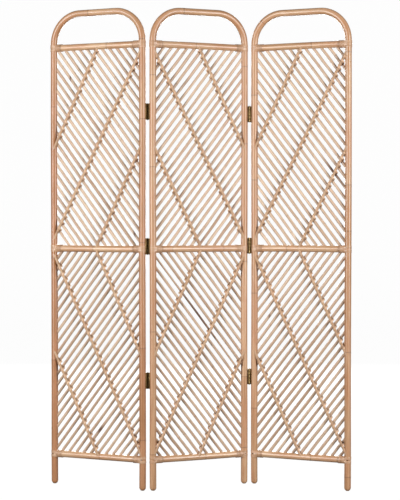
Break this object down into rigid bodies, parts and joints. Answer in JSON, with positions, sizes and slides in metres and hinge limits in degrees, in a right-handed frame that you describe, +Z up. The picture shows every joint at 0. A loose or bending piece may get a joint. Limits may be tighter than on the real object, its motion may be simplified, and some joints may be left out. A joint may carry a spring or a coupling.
{
  "type": "folding room divider screen",
  "caption": "Folding rattan screen: three arched pole panels with slanting cane infill and tied braces, joined by brass butt hinges.",
  "frame": {"origin": "on the floor, under the centre of the middle panel", "axes": "+X along the screen to the viewer's right, +Y away from the front, +Z up"},
  "size_m": [1.1304, 0.1772, 1.7998],
  "materials": {
    "pole_rattan": "peeled rattan pole, clear satin lacquer",
    "cane_rattan": "thin split-free rattan cane, clear satin lacquer",
    "brace_rattan": "rattan stick wound with glossy rattan peel",
    "brass": "antiqued brass, satin"
  },
  "bodies": {
    "left_panel": {"left_hoop": "pole_rattan", "left_bottom_rail": "pole_rattan", "left_mid_rail": "pole_rattan", "left_top_rail": "pole_rattan", "left_upper_canes": "cane_rattan", "left_upper_high_brace": "brace_rattan", "left_upper_long_brace": "brace_rattan", "left_upper_low_brace": "brace_rattan", "left_lower_canes": "cane_rattan", "left_lower_high_brace": "brace_rattan", "left_lower_long_brace": "brace_rattan", "left_lower_low_brace": "brace_rattan", "left_low_hinge_outer_leaf": "brass", "left_mid_hinge_outer_leaf": "brass", "left_high_hinge_outer_leaf": "brass"},
    "middle_panel": {"middle_hoop": "pole_rattan", "middle_bottom_rail": "pole_rattan", "middle_mid_rail": "pole_rattan", "middle_top_rail": "pole_rattan", "middle_upper_canes": "cane_rattan", "middle_upper_high_brace": "brace_rattan", "middle_upper_long_brace": "brace_rattan", "middle_upper_low_brace": "brace_rattan", "middle_lower_canes": "cane_rattan", "middle_lower_high_brace": "brace_rattan", "middle_lower_long_brace": "brace_rattan", "middle_lower_low_brace": "brace_rattan", "left_low_hinge_middle_leaf": "brass", "left_low_hinge_pin": "brass", "left_mid_hinge_middle_leaf": "brass", "left_mid_hinge_pin": "brass", "left_high_hinge_middle_leaf": "brass", "left_high_hinge_pin": "brass", "right_low_hinge_middle_leaf": "brass", "right_low_hinge_pin": "brass", "right_mid_hinge_middle_leaf": "brass", "right_mid_hinge_pin": "brass", "right_high_hinge_middle_leaf": "brass", "right_high_hinge_pin": "brass"},
    "right_panel": {"right_hoop": "pole_rattan", "right_bottom_rail": "pole_rattan", "right_mid_rail": "pole_rattan", "right_top_rail": "pole_rattan", "right_upper_canes": "cane_rattan", "right_upper_high_brace": "brace_rattan", "right_upper_long_brace": "brace_rattan", "right_upper_low_brace": "brace_rattan", "right_lower_canes": "cane_rattan", "right_lower_high_brace": "brace_rattan", "right_lower_long_brace": "brace_rattan", "right_lower_low_brace": "brace_rattan", "right_low_hinge_outer_leaf": "brass", "right_mid_hinge_outer_leaf": "brass", "right_high_hinge_outer_leaf": "brass"}
  },
  "joints": [
    {"name": "left_fold", "type": "hinge", "parent": "middle_panel", "child": "left_panel", "pos_m": [-0.19082, -0.06854, 0.91], "axis": [0, 0, -1], "range_deg": [-48, 132]},
    {"name": "right_fold", "type": "hinge", "parent": "middle_panel", "child": "right_panel", "pos_m": [0.19082, 0.06854, 0.91], "axis": [0, 0, -1], "range_deg": [-48, 132]}
  ]
}
